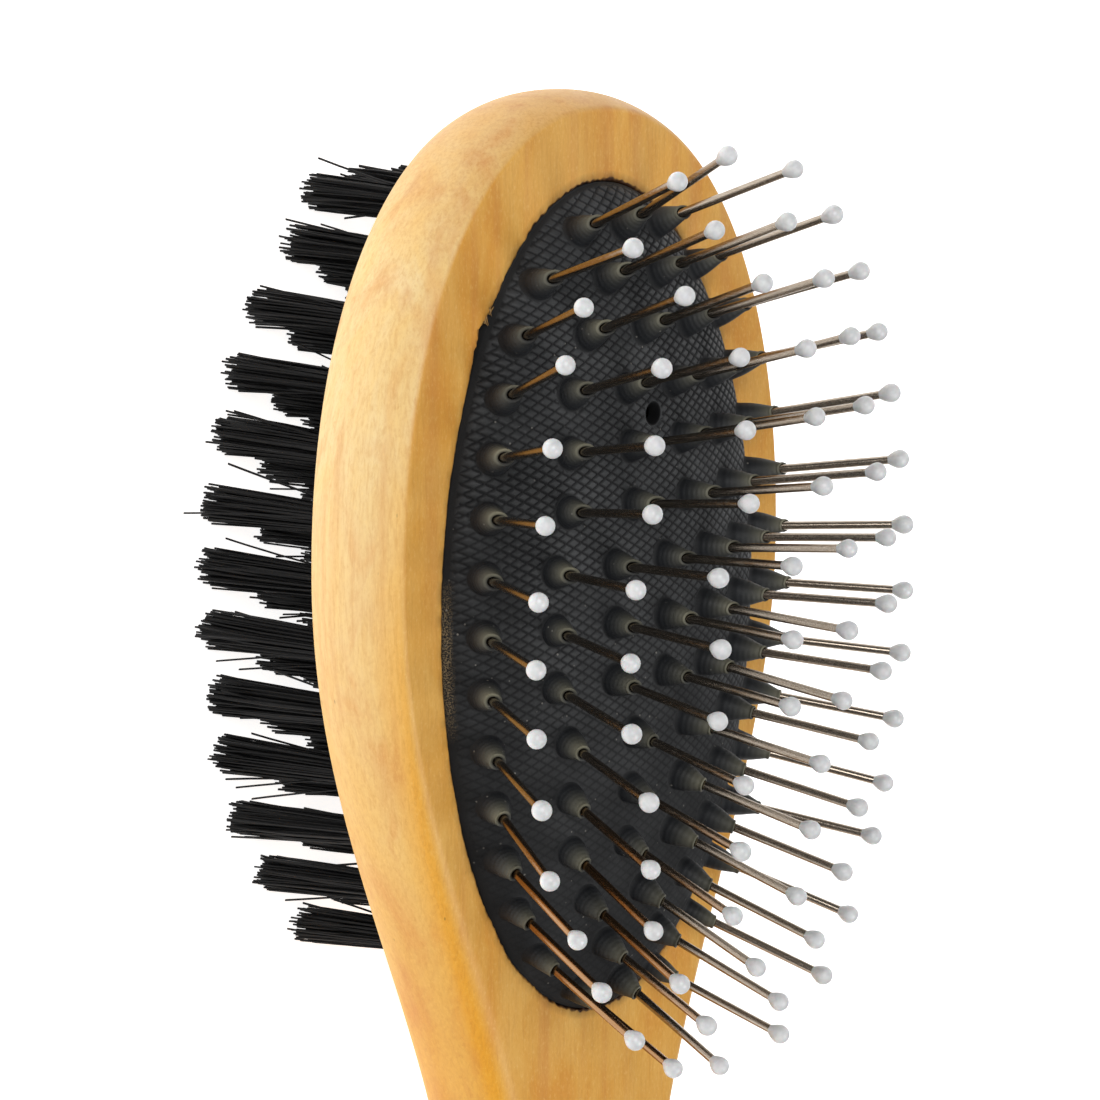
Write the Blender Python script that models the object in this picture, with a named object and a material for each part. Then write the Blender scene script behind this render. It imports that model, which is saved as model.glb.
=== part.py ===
"""Double-sided pet grooming brush: a one-piece wooden head and handle, ball-tipped wire pins
standing in a domed rubber air cushion on the front, and tufts of black bristle on the back.

Frame: X runs across the brush, Y along it towards the tip of the head, and Z out of the pin
side. The brush stands on its bristle tips, at Z = 0, and X = Y = 0 is the middle of its length.
Lengths are in metres.
"""

import math

import bmesh
import bpy
from mathutils import Vector

MM = 0.001
UP = Vector((0, 0, 1))

# Wooden body
OVERALL_LENGTH = 225.0 * MM
BODY_THICKNESS = 12.2 * MM
BRISTLE_REACH = 21.0 * MM       # from the back face of the wood to the bristle tips
BACK_Z = BRISTLE_REACH
FACE_Z = BACK_Z + BODY_THICKNESS
SIDE_BULGE = 1.7 * MM           # how far the barrel-shaped side stands out past the face's edge
EDGE_INSET = 0.8 * MM           # how far inside that edge the face starts to round over
SIDE_ROUNDNESS = 2.5            # superellipse exponent of the side's section
HANDLE_BULGE_SCALE = 1.8        # the handle's sides are rounder than the head's
HEAD_HALF_WIDTH = 30.3 * MM
HEAD_SEMI_LENGTH = 46.0 * MM    # from the widest station to the tip of the head
HEAD_ROUNDNESS = 2.15
NECK_LENGTH = 80.0 * MM         # from the widest station down to the waist of the neck
NECK_HALF_WIDTH = 9.5 * MM
HANDLE_HALF_WIDTH = 11.0 * MM
HANDLE_WIDEST_Y = -75.0 * MM
HANDLE_END_ROUNDNESS = 2.6
HEAD_TIP_Y = OVERALL_LENGTH / 2 - SIDE_BULGE
WIDEST_Y = HEAD_TIP_Y - HEAD_SEMI_LENGTH
NECK_Y = WIDEST_Y - NECK_LENGTH
HANDLE_END_Y = -OVERALL_LENGTH / 2 + SIDE_BULGE * HANDLE_BULGE_SCALE

# Oval pocket that holds the cushion
POCKET_Y = WIDEST_Y - 4.0 * MM
POCKET_HALF_WIDTH = 24.6 * MM
POCKET_HALF_LENGTH = 42.7 * MM
LEDGE_DEPTH = 2.0 * MM
LEDGE_WIDTH = 1.1 * MM
CHAMBER_DEPTH = 6.6 * MM

# Rubber cushion: a shallow dome that rises quickly at its rim
GAP = 0.3 * MM
RUBBER_THICKNESS = 1.4 * MM
DOME_RISE = 6.6 * MM
RIM_RISE = 1.7 * MM
RIM_SHARPNESS = 8
BOSS_HEIGHT = 3.8 * MM
BOSS_BASE_RADIUS = 1.9 * MM
BOSS_TOP_RADIUS = 1.15 * MM
CUTTER_REACH = 4.0 * MM         # how far the pin-hole and vent cutters run each way
VENT_RADIUS = 1.05 * MM

# Pins
PIN_COUNTS = (3, 4, 5, 6, 6, 6, 7, 7, 7, 6, 6, 6, 5, 4, 3)
PIN_ROW_PITCH = 5.8 * MM
PIN_FIELD_HALF_WIDTH = 21.7 * MM
PIN_FIELD_HALF_LENGTH = 42.3 * MM
PIN_FIELD_OFFSET = -0.5 * MM
END_ROW_SHIFT = 2.0 * MM        # how far the first and last rows are drawn in
PIN_LENGTH = 16.2 * MM          # from the cushion's surface to the centre of the ball tip
WIRE_RADIUS = 0.45 * MM
TIP_RADIUS = 1.05 * MM
PIN_HOLE_RADIUS = 0.8 * MM
LEAN_ACROSS = 30.4              # radians of outward lean per metre from the centre line
LEAN_ACROSS_EASE = -10.0e3      # cubic term that slows the lean near the sides
LEAN_ALONG = 13.6
LEAN_CENTRE = 2.8 * MM
LEAN_ALONG_EASE = 0.22          # radians taken off at the end rows
FOOT_DEPTH = 2.8 * MM           # middle of the pins' foot strip, under the cushion's surface
FOOT_HALF_THICKNESS = 0.35 * MM
FOOT_HALF_WIDTH = 0.75 * MM

# Bristle tufts
TUFT_ROWS = 13
TUFT_ROW_PITCH = 6.5 * MM
TUFT_FIELD_Y = POCKET_Y + 2.9 * MM
TUFT_FIELD_HALF_WIDTH = 22.5 * MM
TUFT_FIELD_HALF_LENGTH = 39.3 * MM
TUFT_WIDEST_DROP = 3.0 * MM     # how far below its middle the field is widest
TUFT_SPACING = 15.1 * MM
TUFT_STAGGER = 8.0 * MM         # how far in from the long rows' ends a short row's ends are
TUFT_HEAD_SHIFT = 2.2 * MM      # how far the row at the head's tip is drawn in
TUFT_HEAD_COUNT = 3             # tufts in that row, which stand closer together
TUFT_HEAD_HALF_WIDTH = 7.0 * MM
TUFT_HOLE_RADIUS = 1.6 * MM
TUFT_HOLE_DEPTH = 3.6 * MM
TUFT_ROOT_RADIUS = 1.25 * MM
TUFT_TIP_RADIUS = 1.9 * MM
TUFT_LEAN = 1.2                 # radians of outward lean per metre from the field's centre
BASE_STRIP_HALF_WIDTH = 0.7 * MM
BASE_STRIP_HALF_THICKNESS = 0.3 * MM

SIDES = 6                       # sides of the wires, bosses and tufts
OVAL_SIDES = 42


# ---------------------------------------------------------------- scene helpers

def clear_scene():
    for old in list(bpy.data.objects):
        bpy.data.objects.remove(old)


def make_material(name, colour, roughness, metallic=0.0):
    material = bpy.data.materials.new(name)
    material.use_nodes = True
    shader = material.node_tree.nodes["Principled BSDF"]
    shader.inputs["Base Color"].default_value = (*colour, 1.0)
    shader.inputs["Roughness"].default_value = roughness
    shader.inputs["Metallic"].default_value = metallic
    return material


def add_object(name, bm, material=None, smooth_angle=None):
    bmesh.ops.recalc_face_normals(bm, faces=bm.faces)
    mesh = bpy.data.meshes.new(name)
    bm.to_mesh(mesh)
    bm.free()
    if material is not None:
        mesh.materials.append(material)
    if smooth_angle is not None:
        mesh.shade_smooth()
        mesh.set_sharp_from_angle(angle=math.radians(smooth_angle))
    obj = bpy.data.objects.new(name, mesh)
    bpy.context.scene.collection.objects.link(obj)
    return obj


def add_cutter(name, bm):
    cutter = add_object(name, bm)
    cutter.hide_render = True
    cutter.display_type = "WIRE"
    return cutter


def add_boolean(obj, other, operation):
    modifier = obj.modifiers.new(other.name, "BOOLEAN")
    modifier.operation = operation
    modifier.solver = "EXACT"
    modifier.object = other


def loft(bm, rings):
    """Joins rings of equal point counts into one closed skin with flat or fanned ends."""
    loops = [[bm.verts.new(point) for point in ring] for ring in rings]
    for lower, upper in zip(loops, loops[1:]):
        count = len(lower)
        for i in range(count):
            j = (i + 1) % count
            bm.faces.new((lower[i], lower[j], upper[j], upper[i]))
    bm.faces.new(loops[0])
    bm.faces.new(loops[-1])


def oval(half_width, half_length, z, centre_y=POCKET_Y):
    points = []
    for i in range(OVAL_SIDES):
        angle = 2 * math.pi * i / OVAL_SIDES
        points.append(Vector((half_width * math.cos(angle),
                              centre_y + half_length * math.sin(angle), z)))
    return points


def ring_about(axis_point, axis, radius, sides=SIDES):
    """A regular polygon square to a leaning axis, started from the same side every time."""
    across = Vector((0, 1, 0)).cross(axis).normalized()
    along = axis.cross(across)
    ring = []
    for i in range(sides):
        angle = 2 * math.pi * (i + 0.5) / sides
        ring.append(axis_point + radius * (math.cos(angle) * across + math.sin(angle) * along))
    return ring


# ---------------------------------------------------------------- wooden body

def ease(t):
    """A cosine step from 0 to 1."""
    t = min(max(t, 0.0), 1.0)
    return 0.5 - 0.5 * math.cos(math.pi * t)


def superellipse_quarter(half_width, length, roundness, steps):
    """Points from the far end (0, length) round to the side (half_width, 0)."""
    for i in range(steps + 1):
        angle = 0.5 * math.pi * (1 - i / steps)
        yield (half_width * abs(math.cos(angle)) ** (2 / roundness),
               length * math.sin(angle) ** (2 / roundness))


def right_outline():
    """The edge of the flat face on the +X side, from the head's tip to the handle's end."""
    points = []
    for x, y in superellipse_quarter(HEAD_HALF_WIDTH, HEAD_SEMI_LENGTH, HEAD_ROUNDNESS, 11):
        points.append(Vector((x, WIDEST_Y + y)))
    neck_steps = 9
    for i in range(1, neck_steps + 1):
        t = i / neck_steps
        width = HEAD_HALF_WIDTH + (NECK_HALF_WIDTH - HEAD_HALF_WIDTH) * ease(t)
        points.append(Vector((width, WIDEST_Y - NECK_LENGTH * t)))
    handle_steps = 4
    for i in range(1, handle_steps + 1):
        t = i / handle_steps
        width = NECK_HALF_WIDTH + (HANDLE_HALF_WIDTH - NECK_HALF_WIDTH) * ease(t)
        points.append(Vector((width, NECK_Y + (HANDLE_WIDEST_Y - NECK_Y) * t)))
    end_length = HANDLE_WIDEST_Y - HANDLE_END_Y
    end = list(superellipse_quarter(HANDLE_HALF_WIDTH, end_length, HANDLE_END_ROUNDNESS, 7))
    for x, y in reversed(end[:-1]):
        points.append(Vector((x, HANDLE_WIDEST_Y - y)))
    return points


def whole_outline():
    right = right_outline()
    left = [Vector((-p.x, p.y)) for p in reversed(right[1:-1])]
    return right + left


def offset_ring(outline, offset, z):
    """The outline moved outwards by offset, more on the handle, at height z."""
    ring = []
    count = len(outline)
    for i, point in enumerate(outline):
        tangent = outline[(i + 1) % count] - outline[i - 1]
        normal = Vector((-tangent.y, tangent.x)).normalized()
        handle_share = ease((10 * MM - point.y) / (50 * MM))
        scale = 1 + (HANDLE_BULGE_SCALE - 1) * handle_share
        moved = point + normal * offset * scale
        ring.append(Vector((moved.x, moved.y, z)))
    return ring


def build_wooden_body(material):
    outline = whole_outline()
    rings = []
    steps = 8
    power = 2 / SIDE_ROUNDNESS
    for i in range(steps + 1):
        angle = math.pi * i / steps
        offset = -EDGE_INSET + (EDGE_INSET + SIDE_BULGE) * abs(math.sin(angle)) ** power
        rise = math.copysign(abs(math.cos(angle)) ** power, math.cos(angle))
        rings.append(offset_ring(outline, offset, FACE_Z - BODY_THICKNESS / 2 * (1 - rise)))
    bm = bmesh.new()
    loft(bm, rings)
    body = add_object("wooden_body", bm, material, smooth_angle=50)

    pocket = bmesh.new()
    ledge_z = FACE_Z - LEDGE_DEPTH
    chamber = (POCKET_HALF_WIDTH - LEDGE_WIDTH, POCKET_HALF_LENGTH - LEDGE_WIDTH)
    loft(pocket, [
        oval(POCKET_HALF_WIDTH, POCKET_HALF_LENGTH, FACE_Z + MM),
        oval(POCKET_HALF_WIDTH, POCKET_HALF_LENGTH, ledge_z),
        oval(*chamber, ledge_z),
        oval(*chamber, FACE_Z - CHAMBER_DEPTH),
    ])
    add_boolean(body, add_cutter("cut_pocket", pocket), "DIFFERENCE")

    holes = bmesh.new()
    for row in tuft_rows():
        for root in row:
            top = ring_about(root + UP * TUFT_HOLE_DEPTH, UP, TUFT_HOLE_RADIUS)
            loft(holes, [top, ring_about(root - UP * MM, UP, TUFT_HOLE_RADIUS)])
    add_boolean(body, add_cutter("cut_tuft_holes", holes), "DIFFERENCE")
    return body


# ---------------------------------------------------------------- cushion and pins

def dome_height(share):
    """Height over the wood's face, for the squared share of the way from centre to rim."""
    share = min(share, 1.0)
    return DOME_RISE * (1 - share) + RIM_RISE * (1 - share ** RIM_SHARPNESS)


def squared_share(x, y):
    across = x / POCKET_HALF_WIDTH
    along = (y - POCKET_Y) / POCKET_HALF_LENGTH
    return across * across + along * along


def pin_row_y(row):
    step = len(PIN_COUNTS) // 2 - row
    end_step = len(PIN_COUNTS) // 2
    drawn_in = END_ROW_SHIFT * (step / end_step) ** 5
    return POCKET_Y + PIN_FIELD_OFFSET + PIN_ROW_PITCH * step - drawn_in


def pin_axis(x, y):
    along = y - POCKET_Y - PIN_FIELD_OFFSET - LEAN_CENTRE
    lean_x = LEAN_ACROSS * x + LEAN_ACROSS_EASE * x ** 3
    lean_y = LEAN_ALONG * along - LEAN_ALONG_EASE * (along / PIN_FIELD_HALF_LENGTH) ** 5
    return Vector((math.tan(lean_x), math.tan(lean_y), 1)).normalized()


def pin_row(row):
    """The root on the cushion's surface, and the axis, of each pin in a row."""
    count = PIN_COUNTS[row]
    step = len(PIN_COUNTS) // 2 - row
    reach = PIN_ROW_PITCH * step / PIN_FIELD_HALF_LENGTH
    half_width = PIN_FIELD_HALF_WIDTH * math.sqrt(1 - reach * reach)
    y = pin_row_y(row)
    pins = []
    for i in range(count):
        x = half_width * (2 * i / (count - 1) - 1)
        root = Vector((x, y, FACE_Z + dome_height(squared_share(x, y))))
        pins.append((root, pin_axis(x, y)))
    return pins


def dome_ring(share, drop=0.0):
    """A ring of the dome at a share of the way from centre to rim, lowered by drop."""
    height = FACE_Z + dome_height(share * share) - drop
    width = (POCKET_HALF_WIDTH - GAP) * share
    length = (POCKET_HALF_LENGTH - GAP) * share
    return oval(width, length, height)


def build_cushion(material):
    rim_z = FACE_Z - LEDGE_DEPTH + GAP
    inner_width = POCKET_HALF_WIDTH - LEDGE_WIDTH - GAP
    inner_length = POCKET_HALF_LENGTH - LEDGE_WIDTH - GAP
    rings = [dome_ring(share) for share in (0.15, 0.45, 0.7, 0.85, 0.93, 0.98, 1.0)]
    rings.append(oval(POCKET_HALF_WIDTH - GAP, POCKET_HALF_LENGTH - GAP, rim_z))
    rings.append(oval(inner_width, inner_length, rim_z))
    rings += [dome_ring(share, RUBBER_THICKNESS) for share in (0.92, 0.75, 0.45, 0.15)]
    bm = bmesh.new()
    loft(bm, rings)
    cushion = add_object("rubber_cushion", bm, material, smooth_angle=35)

    bosses = bmesh.new()
    holes = bmesh.new()
    for row in range(len(PIN_COUNTS)):
        for root, axis in pin_row(row):
            buried = root - axis * (RUBBER_THICKNESS / 2)
            loft(bosses, [ring_about(buried, axis, BOSS_BASE_RADIUS),
                          ring_about(root + axis * BOSS_HEIGHT, axis, BOSS_TOP_RADIUS)])
            loft(holes, [ring_about(root - axis * CUTTER_REACH, axis, PIN_HOLE_RADIUS),
                         ring_about(root + axis * CUTTER_REACH, axis, PIN_HOLE_RADIUS)])
    vent_y = (pin_row_y(3) + pin_row_y(4)) / 2
    vent = Vector((0, vent_y, FACE_Z + dome_height(squared_share(0, vent_y))))
    loft(holes, [ring_about(vent - UP * CUTTER_REACH, UP, VENT_RADIUS),
                 ring_about(vent + UP * CUTTER_REACH, UP, VENT_RADIUS)])
    add_boolean(cushion, add_cutter("add_bosses", bosses), "UNION")
    add_boolean(cushion, add_cutter("cut_pin_holes", holes), "DIFFERENCE")
    return cushion


def strip_through(bm, points, axes, half_width, half_thickness):
    """A flat strip that runs from point to point and a little past both ends."""
    first = (points[0] - points[1]).normalized() * half_width
    last = (points[-1] - points[-2]).normalized() * half_width
    path = [points[0] + first] + points[1:-1] + [points[-1] + last]
    rings = []
    for point, axis in zip(path, axes):
        side = axis.cross(Vector((1, 0, 0))).normalized() * half_width
        up = axis * half_thickness
        rings.append([point - side - up, point + side - up, point + side + up, point - side + up])
    loft(bm, rings)


def build_pin_row(row, material):
    pins = pin_row(row)
    bm = bmesh.new()
    strip_through(bm, [root - axis * FOOT_DEPTH for root, axis in pins],
                  [axis for _, axis in pins], FOOT_HALF_WIDTH, FOOT_HALF_THICKNESS)
    obj = add_object(f"pin_row_{row + 1:02d}", bm, material, smooth_angle=40)
    wires = bmesh.new()
    for root, axis in pins:
        profile = [
            (-FOOT_DEPTH, WIRE_RADIUS),
            (PIN_LENGTH - 1.1 * TIP_RADIUS, WIRE_RADIUS),
            (PIN_LENGTH - 0.5 * TIP_RADIUS, 0.87 * TIP_RADIUS),
            (PIN_LENGTH, TIP_RADIUS),
            (PIN_LENGTH + 0.85 * TIP_RADIUS, 0.5 * TIP_RADIUS),
        ]
        loft(wires, [ring_about(root + axis * t, axis, r) for t, r in profile])
    add_boolean(obj, add_cutter(f"add_pins_{row + 1:02d}", wires), "UNION")
    return obj


# ---------------------------------------------------------------- bristle tufts

def main_tuft_row(index):
    """Count, half width and Y of one of the long tuft rows."""
    end_step = (TUFT_ROWS - 1) / 2
    step = end_step - index
    offset = TUFT_ROW_PITCH * step
    reach = (offset + TUFT_WIDEST_DROP) / TUFT_FIELD_HALF_LENGTH
    half_width = TUFT_FIELD_HALF_WIDTH * math.sqrt(max(1 - reach * reach, 0))
    count = max(2, 1 + round(2 * half_width / TUFT_SPACING))
    if index == 0:
        count, half_width = TUFT_HEAD_COUNT, TUFT_HEAD_HALF_WIDTH
    drawn_in = TUFT_HEAD_SHIFT * max(step / end_step, 0) ** 4
    return count, half_width, TUFT_FIELD_Y + offset - drawn_in


def short_tuft_row(row, next_row):
    """The staggered row between two long ones: its tufts stand in their gaps."""
    count, half_width, y = row
    next_count, next_width, next_y = next_row
    between = count - 1 if count == next_count else 2
    return between, (half_width + next_width) / 2 - TUFT_STAGGER, (y + next_y) / 2


def tuft_rows():
    """Roots on the back face: long rows, with a staggered short row in every gap but the first."""
    long_rows = [main_tuft_row(index) for index in range(TUFT_ROWS)]
    rows = [long_rows[0]]
    for row, next_row in zip(long_rows[1:], long_rows[2:]):
        rows += [row, short_tuft_row(row, next_row)]
    rows.append(long_rows[-1])
    placed = []
    for count, half_width, y in rows:
        placed.append([Vector((half_width * (2 * i / (count - 1) - 1), y, BACK_Z))
                       for i in range(count)])
    return placed


def tuft_ring(root, z, radius):
    """A level ring of the tuft at height z; the tuft leans outwards below the back face."""
    drop = max(BACK_Z - z, 0.0)
    centre = Vector((root.x + drop * math.tan(TUFT_LEAN * root.x),
                     root.y + drop * math.tan(TUFT_LEAN * (root.y - TUFT_FIELD_Y)), z))
    return ring_about(centre, UP, radius)


def build_tuft_row(number, roots, material):
    bm = bmesh.new()
    strip_z = BACK_Z - GAP - BASE_STRIP_HALF_THICKNESS
    strip_through(bm, [Vector((root.x, root.y, strip_z)) for root in roots],
                  [UP] * len(roots),
                  BASE_STRIP_HALF_WIDTH, BASE_STRIP_HALF_THICKNESS)
    obj = add_object(f"tuft_row_{number:02d}", bm, material, smooth_angle=40)
    tufts = bmesh.new()
    for root in roots:
        loft(tufts, [
            tuft_ring(root, BACK_Z + TUFT_HOLE_DEPTH - GAP, TUFT_ROOT_RADIUS),
            tuft_ring(root, BACK_Z, TUFT_ROOT_RADIUS),
            tuft_ring(root, 0.0, TUFT_TIP_RADIUS),
        ])
    add_boolean(obj, add_cutter(f"add_tufts_{number:02d}", tufts), "UNION")
    return obj


# ---------------------------------------------------------------- assembly

def main():
    clear_scene()
    wood = make_material("lacquered_wood", (0.72, 0.45, 0.16), 0.35)
    rubber = make_material("black_rubber", (0.02, 0.02, 0.022), 0.6)
    wire = make_material("nickel_wire", (0.62, 0.6, 0.57), 0.25, metallic=1.0)
    bristle = make_material("black_bristle", (0.01, 0.01, 0.011), 0.4)

    body = build_wooden_body(wood)
    fixed = [build_cushion(rubber)]
    for number, roots in enumerate(tuft_rows(), start=1):
        fixed.append(build_tuft_row(number, roots, bristle))
    for obj in fixed:
        obj.parent = body

    carriage = bpy.data.objects.new("cushion_press", None)
    bpy.context.scene.collection.objects.link(carriage)
    carriage.parent = body
    for row in range(len(PIN_COUNTS)):
        build_pin_row(row, wire).parent = carriage


main()
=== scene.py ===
"""The looks of the double-sided pet grooming brush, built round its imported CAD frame.

Frame: X runs across the brush, Y along it towards the tip of the head, and Z out of the pin
side. The brush stands on its bristle tips, at Z = 0. Lengths are in metres.
"""

import math
import random

import bmesh
import bpy
import numpy as np
from mathutils import Matrix, Vector, noise
from mathutils.geometry import delaunay_2d_cdt


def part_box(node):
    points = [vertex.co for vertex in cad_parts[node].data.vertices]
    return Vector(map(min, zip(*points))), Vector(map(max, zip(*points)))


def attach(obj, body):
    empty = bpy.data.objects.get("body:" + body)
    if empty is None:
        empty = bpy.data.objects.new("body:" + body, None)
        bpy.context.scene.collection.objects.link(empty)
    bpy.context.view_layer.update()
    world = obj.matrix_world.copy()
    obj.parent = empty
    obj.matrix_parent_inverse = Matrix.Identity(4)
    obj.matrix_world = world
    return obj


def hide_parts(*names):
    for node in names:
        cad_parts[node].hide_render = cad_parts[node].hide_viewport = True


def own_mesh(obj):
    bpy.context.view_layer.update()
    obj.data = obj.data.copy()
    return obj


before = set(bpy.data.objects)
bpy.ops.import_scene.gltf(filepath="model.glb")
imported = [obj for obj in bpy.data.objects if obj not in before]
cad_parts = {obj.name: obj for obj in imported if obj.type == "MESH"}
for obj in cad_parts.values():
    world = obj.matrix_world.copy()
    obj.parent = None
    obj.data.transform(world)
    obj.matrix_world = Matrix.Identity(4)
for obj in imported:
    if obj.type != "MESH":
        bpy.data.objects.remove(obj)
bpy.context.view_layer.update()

MM = 0.001
UP = Vector((0, 0, 1))

# Wooden body, round the frame's own box
BODY_LOW, BODY_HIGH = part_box("wooden_body")
BACK_Z = BODY_LOW[2]
FACE_Z = BODY_HIGH[2]
BODY_THICKNESS = FACE_Z - BACK_Z
SIDE_BULGE = 1.7 * MM
HEAD_EDGE_ROUND = 0.5 * MM      # radius, roughly, of the crease between face and side
HANDLE_EDGE_ROUND = 2.0 * MM
SOFT_CREASE_Y = (68 * MM, 12 * MM)  # where the crease starts to soften, and is softest
BARREL = 2.2                    # exponent of the barrel-shaped side
HANDLE_BULGE_SCALE = 1.8
HEAD_HALF_WIDTH = 30.3 * MM
HEAD_SEMI_LENGTH = 46.0 * MM
HEAD_ROUNDNESS = 2.15
NECK_LENGTH = 80.0 * MM
NECK_HALF_WIDTH = 9.5 * MM
HANDLE_HALF_WIDTH = 11.0 * MM
HANDLE_WIDEST_Y = -75.0 * MM
HANDLE_END_ROUNDNESS = 2.6
HEAD_TIP_Y = BODY_HIGH[1] - SIDE_BULGE
WIDEST_Y = HEAD_TIP_Y - HEAD_SEMI_LENGTH
NECK_Y = WIDEST_Y - NECK_LENGTH
HANDLE_END_Y = BODY_LOW[1] + SIDE_BULGE * HANDLE_BULGE_SCALE

# Oval pocket
POCKET_Y = WIDEST_Y - 4.0 * MM
POCKET_HALF_WIDTH = 24.6 * MM
POCKET_HALF_LENGTH = 42.7 * MM
LEDGE_DEPTH = 2.0 * MM
LEDGE_WIDTH = 1.1 * MM
CHAMBER_DEPTH = 6.6 * MM
POCKET_EDGE_ROUND = 0.22 * MM
POCKET_EDGE_STEPS = 720
CHIP_START = math.radians(134)  # where the wood's edge is chipped, round the pocket
CHIP_END = math.radians(146)
CHIP_DEPTH = 0.7 * MM
POCKET_RAG = 0.26 * MM          # how far the cut edge wanders
OVAL_STEPS = 300

# Rubber cushion
GAP = 0.3 * MM
RUBBER_THICKNESS = 1.4 * MM
DOME_RISE = 6.6 * MM
RIM_RISE = 1.7 * MM
RIM_SHARPNESS = 8
DOME_FOOT = (0.988, 0.993)      # where the dome meets its upright rim, across and along
RIM_GAP = 0.08 * MM             # the rubber fits the pocket's wall closely
VENT_RADIUS = 1.05 * MM

# Bosses of the cushion
BOSS_STEPS = 24
BOSS_FOOT_RADIUS = 1.74 * MM
NEAR_BOSS = (2.8 * MM, 0.85 * MM)   # height and lip radius of the bosses on the -X side
FAR_BOSS = (3.9 * MM, 0.66 * MM)    # and on the +X side
BOSS_HOLE_RADIUS = 0.48 * MM
BOSS_GRIP_RADIUS = 0.43 * MM    # below the lip the rubber grips the wire
LIP_TILT_HEAD = 0.9             # rise of the lip towards the +X side, as a slope, at the head
LIP_TILT_HANDLE = -0.3          # the same at the rows nearest the handle
HIGHLIGHT_SIDE = Vector((-0.7, 0.7, 0))  # the painted highlight on the bosses' tops is strongest towards this side
BOSS_PROFILE = (                # share of the way out from lip to foot, and of the height
    (1.0, 0.00), (0.93, 0.02), (0.87, 0.07), (0.81, 0.16), (0.74, 0.27), (0.65, 0.39),
    (0.53, 0.51), (0.40, 0.62), (0.27, 0.72), (0.15, 0.81), (0.06, 0.88), (0.01, 0.93),
    (0.04, 0.97), (-0.02, 1.00), (-0.14, 0.998),
)

# Embossed lattice of the cushion
EMBOSS_PITCH = 0.87 * MM        # between neighbouring grooves of one family
EMBOSS_ANGLE = math.radians(30)
EMBOSS_DEPTH = 0.16 * MM
GROOVE_HALF_WIDTH = 0.23        # of the grooves between the lozenges, in pitches
FOOT_LIFT = 0.06 * MM           # the bosses' feet stand a little above the grooves
WORN_Y = POCKET_Y - 32 * MM     # below this the pattern is nearly worn away
WORN_LENGTH = 50 * MM           # over which it comes back
WORN_SHARE = 0.12               # what is left of it where it is worn most
WORN_SHADE = 0.83               # darkness where the pattern is worn away
GROOVE_SHADE = 0.16             # how much painted shade darkens the unworn grooves
PAD_SHINE = 1.25                # how much paler the lozenges are than the grooves, as a painted highlight
RIM_SHADE = 0.75                # painted shade on the upright rim
VENT_SHADE = 2.0                # and painted shade inside the vent, fully black

# Pins
PIN_COUNTS = (3, 4, 5, 6, 6, 6, 7, 7, 7, 6, 6, 6, 5, 4, 3)
PIN_ROW_PITCH = 5.8 * MM
PIN_FIELD_HALF_WIDTH = 21.7 * MM
PIN_FIELD_HALF_LENGTH = 42.3 * MM
PIN_FIELD_OFFSET = -0.5 * MM
END_ROW_SHIFT = 2.0 * MM
PIN_LENGTH = 16.2 * MM          # from the dome's top to the ball's centre
WIRE_RADIUS = 0.45 * MM
TIP_RADIUS = 1.05 * MM
LEAN_ACROSS = 30.4              # a pin's lean, in radians for each metre off the middle
LEAN_ACROSS_EASE = -10.0e3      # and for each cubic metre: the outer pins lean less
LEAN_ALONG = 13.6               # the same along Y
LEAN_CENTRE = 2.8 * MM          # how far above the field's middle the pins stand upright
LEAN_ALONG_EASE = 0.22          # in radians, at the end rows
FOOT_DEPTH = 2.8 * MM           # of a pin's head, under the dome's top
PIN_HEAD_RADIUS = 1.0 * MM
BENT_PINS = {                   # (row, pin): how far use has pushed the tip along X and Y, in mm
    (1, 2): (-1.0, 2.3), (1, 3): (1.7, 0.0), (2, 1): (1.7, -1.1), (4, 1): (0.2, 1.3),
    (6, 5): (1.6, 0.0), (7, 6): (1.7, -0.2), (8, 5): (0.2, -1.0), (8, 6): (1.7, -0.2),
    (9, 5): (-0.2, -1.1), (12, 1): (1.7, 0.1), (12, 6): (-0.3, 1.6), (13, 1): (2.3, 0.5),
    (14, 1): (2.8, 0.1), (15, 2): (-1.9, -1.0),
}

# Bristle tufts
TUFT_ROWS = 13
TUFT_ROW_PITCH = 6.5 * MM
TUFT_FIELD_Y = POCKET_Y + 2.9 * MM
TUFT_FIELD_HALF_WIDTH = 22.5 * MM
TUFT_FIELD_HALF_LENGTH = 39.3 * MM
TUFT_WIDEST_DROP = 3.0 * MM     # the field is widest this far below its middle
TUFT_SPACING = 15.1 * MM
TUFT_STAGGER = 8.0 * MM         # how much shorter a row between two long ones is, at each end
TUFT_HEAD_SHIFT = 2.2 * MM
TUFT_HEAD_COUNT = 3
TUFT_HEAD_HALF_WIDTH = 7.0 * MM
TUFT_HOLE_RADIUS = 1.6 * MM
TUFT_HOLE_DEPTH = 3.6 * MM
TUFT_ROOT_RADIUS = 1.3 * MM
TUFT_TIP_RADIUS = 1.9 * MM
TUFT_LEAN = 1.2                 # in radians for each metre off the middle
BRISTLES_PER_TUFT = 130
BRISTLE_RADIUS = 0.12 * MM
BRISTLE_SIDES = 5

# Camera, lights and floor
CAMERA_PLACE = Vector((-0.3543, 0.1392, 0.3179))
CAMERA_RIGHT = Vector((0.6348, -0.0020, 0.7727))
CAMERA_UP = Vector((0.1242, 0.9873, -0.0995))
LENS_MM = 147.9
SENSOR_MM = 36.0
LIGHTS = (                      # name, place, size and power
    ("key", (-0.48, 0.36, 0.55), 0.4, 2.7),
    ("front", (0.05, -0.25, 0.8), 0.5, 3.4),
    ("far_side", (0.7, 0.3, 0.35), 0.5, 1.2),
)
FLOOR_HALF_WIDTH = 3.0
FLOOR_Z = -0.05 * MM            # just clear of the bristle tips


# ---- mesh helpers

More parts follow.
